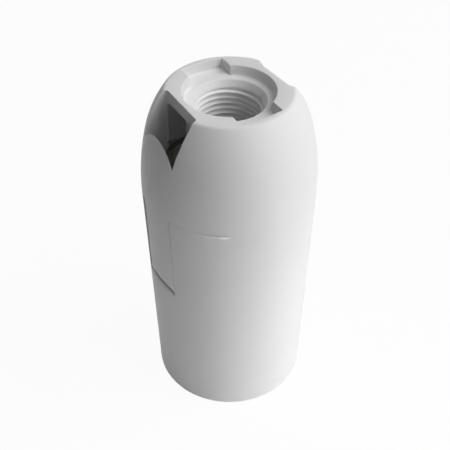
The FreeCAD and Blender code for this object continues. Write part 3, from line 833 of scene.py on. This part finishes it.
def makeThreadShell():
    low, high = shell["end"], shell["top"] - shell["sheet"]
    rows = int((high - low) / shell["rowStep"])
    heights = [low + (high - low) * number / rows for number in range(rows + 1)]
    root, sheet = shell["root"], shell["sheet"]
    straight = [z for z in heights if z < high - shell["bend"]]
    inside = [(root, z, 0) for z in straight]
    outside = [(root + sheet, z, 0) for z in straight]
    corners = (
        inside
        + [(root, high, shell["bendRound"]), (shell["flangeHole"], high, shell["edgeRound"]),
           (shell["flangeHole"], shell["top"], shell["edgeRound"]),
           (root + sheet, shell["top"], shell["shoulderRound"])]
        + outside[::-1])

    def radiusAt(angle, radius, height):
        if min(abs(radius - root), abs(radius - root - sheet)) > tiny:
            return radius
        phase = (height / shell["pitch"] - angle / turn) % 1.0
        ridge = 0.5 - 0.5 * math.cos(turn * phase)
        share = smooth((height - low - shell["threadStart"]) / shell["fade"])
        share *= smooth((high - shell["threadEnd"] - height) / shell["fade"])
        return radius - (shell["root"] - shell["crest"]) * ridge * share

    piece = lathe("threadShell", roundedOutline(corners, step=0.1), shell["segments"], radiusAt)
    holes = []
    for way in (1, -1):
        outline = []
        for number in range(shell["rivetSides"]):
            angle = turn * number / shell["rivetSides"]
            outline.append((shell["rivetX"] * way + shell["rivetHole"] * math.cos(angle),
                            shell["rivetY"] * way + shell["rivetHole"] * math.sin(angle)))
        holes.append(prism("rivetHole", outline, shell["top"] - beyond / 2, shell["top"] + beyond / 2))
    combine(piece, "DIFFERENCE", holes)
    return finishPiece(piece, "rolledShell", "nickelSheet", "nickel_sheet", "housing", "thread_shell")


# Terminal screws: M3, slotted cheese head

screw = {
    "height": 36.2, "radius": 1.5, "root": 1.22, "pitch": 0.5, "headRadius": 1.9, "head": 0.9,
    "slot": 0.5, "slotDepth": 0.5, "tip": 0.3, "headRound": 0.18, "neckRound": 0.08, "segments": 48,
    "rowsPerTurn": 8, "fadeIn": 0.5, "fadeOut": 0.4, "crestShare": 0.1,
}


def makeScrew(node, name, body, way):
    low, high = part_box(node)
    tip = min(abs(low.y), abs(high.y)) / mm
    end = max(abs(low.y), abs(high.y)) / mm
    head = end - screw["head"]
    start = tip + screw["tip"]
    rows = int((head - start) / screw["pitch"] * screw["rowsPerTurn"])
    shank = []
    for number in range(rows + 1):
        shank.append((screw["radius"], start + (head - start) * number / rows, 0))
    corners = (
        [(0, tip, 0), (screw["radius"] - screw["tip"], tip, 0)] + shank
        + [(screw["headRadius"], head, screw["neckRound"]),
           (screw["headRadius"], end, screw["headRound"]), (0, end, 0)])

    def radiusAt(angle, radius, height):
        if abs(radius - screw["radius"]) > tiny:
            return radius
        phase = (height / screw["pitch"] - angle / turn) % 1.0
        groove = 1 - abs(2 * phase - 1)
        depth = smooth(groove * (1 + 2 * screw["crestShare"]) - screw["crestShare"])
        share = smooth((height - tip) / screw["fadeIn"]) * smooth((head - height) / screw["fadeOut"])
        return radius - (screw["radius"] - screw["root"]) * depth * share

    piece = lathe(name, roundedOutline(corners, step=0.08), screw["segments"], radiusAt)
    reach = screw["headRadius"] + beyond
    slot = block("slot", (-reach, -screw["slot"] / 2, end - screw["slotDepth"]),
                 (reach, screw["slot"] / 2, end + beyond))
    combine(piece, "DIFFERENCE", [slot])
    # stand it along Y with its slot across, as the solid has it
    piece.data.transform(Matrix.Rotation(math.pi / 2, 4, "Z"))
    piece.data.transform(Matrix.Rotation(-way * math.pi / 2, 4, "X"))
    piece.data.transform(Matrix.Translation((0, 0, screw["height"] * mm)))
    return finishPiece(piece, name, "zincSteel", "zinc_steel", body, node, sharp=40)


print("pieces")
makeCap()
makeSkirt()
makeThreadShell()
makeScrew("terminal_screw_neutral", "neutralScrew", "neutral_screw", 1)
makeScrew("terminal_screw_live", "liveScrew", "live_screw", -1)

finishes = {
    "insert": "insertMoulding",
    "centre_contact": "springBronze",
    "neutral_strip": "springBronze",
    "terminal_cage_live": "terminalBrass",
    "terminal_cage_neutral": "terminalBrass",
    "pressure_plate_live": "zincSteel",
    "pressure_plate_neutral": "zincSteel",
    "contact_rivet": "terminalBrass",
    "shell_rivet_front": "terminalBrass",
    "shell_rivet_back": "terminalBrass",
}
for node, finish in finishes.items():
    nodes[node].data.materials.clear()
    nodes[node].data.materials.append(materials[finish])


# Floor, backdrop and light, with lengths in metres

studio = {
    "floorSize": 3.0,
    "floorColour": (0.86, 0.86, 0.86, 1),
    "floorGlow": 0.95,
    "ambient": 0.012,
}

# Around is counted from the camera's side towards its right, up from the floor, both in degrees.
# Aim is the height of the point that the lamp looks at.
lamps = {
    "keyLight": {"around": 82, "up": 46, "distance": 0.50, "size": 0.45, "watts": 1.90, "aim": 0.03},
    "sideLight": {"around": 42, "up": 33, "distance": 0.50, "size": 0.30, "watts": 0.32, "aim": 0.03},
    "topLight": {"around": 90, "up": 88, "distance": 0.47, "size": 0.25, "watts": 0.32, "aim": 0.03},
    "backLight": {"around": -150, "up": 35, "distance": 0.50, "size": 0.25, "watts": 0.06, "aim": 0.03},
    "lowLeft": {"around": -25, "up": 3.3, "distance": 0.07, "size": 0.02, "watts": 0.0012, "aim": 0.004},
    "lowFront": {"around": 20, "up": 3.3, "distance": 0.07, "size": 0.02, "watts": 0.0023, "aim": 0.004},
    "lowRight": {"around": 60, "up": 3.3, "distance": 0.07, "size": 0.02, "watts": 0.0080, "aim": 0.004},
}


def shownShare(graph):
    # 1 where the camera, a mirror or glass looks, and 0 for light on its way
    path = graph.node("ShaderNodeLightPath")
    share = graph.part(path, "Is Camera Ray")
    for name in ("Is Glossy Ray", "Is Transmission Ray"):
        other = graph.part(path, name)
        share = graph.node("ShaderNodeMath", {"operation": "MAXIMUM"}, {0: share, 1: other})
    return share


def floorShader(graph):
    lit = graph.node("ShaderNodeBsdfDiffuse", {}, {"Color": studio["floorColour"]})
    glow = graph.node("ShaderNodeEmission", {}, {"Color": (1, 1, 1, 1), "Strength": 1.0})
    share = shownShare(graph) * studio["floorGlow"]
    return graph.node("ShaderNodeMixShader", {}, {0: share, 1: lit, 2: glow})


def makeStudio():
    half = studio["floorSize"] / 2
    mesh = bmesh.new()
    corners = [(-half, -half), (half, -half), (half, half), (-half, half)]
    mesh.faces.new([mesh.verts.new((x, y, 0)) for x, y in corners])
    floor = asObject("floor", mesh)
    floor.data.materials.append(newMaterial("paleFloor", floorShader))

    world = bpy.data.worlds.new("studio")
    bpy.context.scene.world = world
    world.use_nodes = True
    graph = Graph(world.node_tree)
    strength = shownShare(graph) * (1 - studio["ambient"]) + studio["ambient"]
    sky = graph.node("ShaderNodeBackground", {}, {"Color": (1, 1, 1, 1), "Strength": strength})
    graph.node("ShaderNodeOutputWorld", {}, {"Surface": sky})

    for name, lamp in lamps.items():
        target = Vector((0, 0, lamp["aim"]))
        data = bpy.data.lights.new(name, "AREA")
        data.shape = "DISK"
        data.size = lamp["size"]
        data.energy = lamp["watts"]
        light = bpy.data.objects.new(name, data)
        around = math.radians(180 + cameraView["heading"] - lamp["around"])
        up = math.radians(lamp["up"])
        way = Vector((math.sin(around) * math.cos(up), math.cos(around) * math.cos(up), math.sin(up)))
        light.location = target + way * lamp["distance"]
        light.rotation_euler = (-way).to_track_quat("-Z", "Y").to_euler()
        light.visible_camera = False
        bpy.context.scene.collection.objects.link(light)


# Camera, with its eye in metres and its heading from +Y towards +X

cameraView = {
    "eye": (-0.05505, -0.09534, 0.12715),
    "heading": 29.626,
    "down": 41.102,
    "roll": -0.260,
    "lens": 70.02,
    "film": 36.0,
}


def makeCamera():
    heading = math.radians(cameraView["heading"])
    down = math.radians(cameraView["down"])
    roll = math.radians(cameraView["roll"])
    forward = Vector((
        math.sin(heading) * math.cos(down), math.cos(heading) * math.cos(down), -math.sin(down)))
    level = Vector((math.cos(heading), -math.sin(heading), 0))
    upright = level.cross(forward)
    right = level * math.cos(roll) + upright * math.sin(roll)
    up = upright * math.cos(roll) - level * math.sin(roll)
    data = bpy.data.cameras.new("photoCamera")
    data.lens = cameraView["lens"]
    data.sensor_width = cameraView["film"]
    data.clip_start = 0.01
    camera = bpy.data.objects.new("photoCamera", data)
    facing = Matrix((right, up, -forward)).transposed().to_4x4()
    camera.matrix_world = Matrix.Translation(cameraView["eye"]) @ facing
    bpy.context.scene.collection.objects.link(camera)
    bpy.context.scene.camera = camera


print("studio and camera")
makeStudio()
makeCamera()
bpy.context.scene.view_settings.view_transform = "Standard"
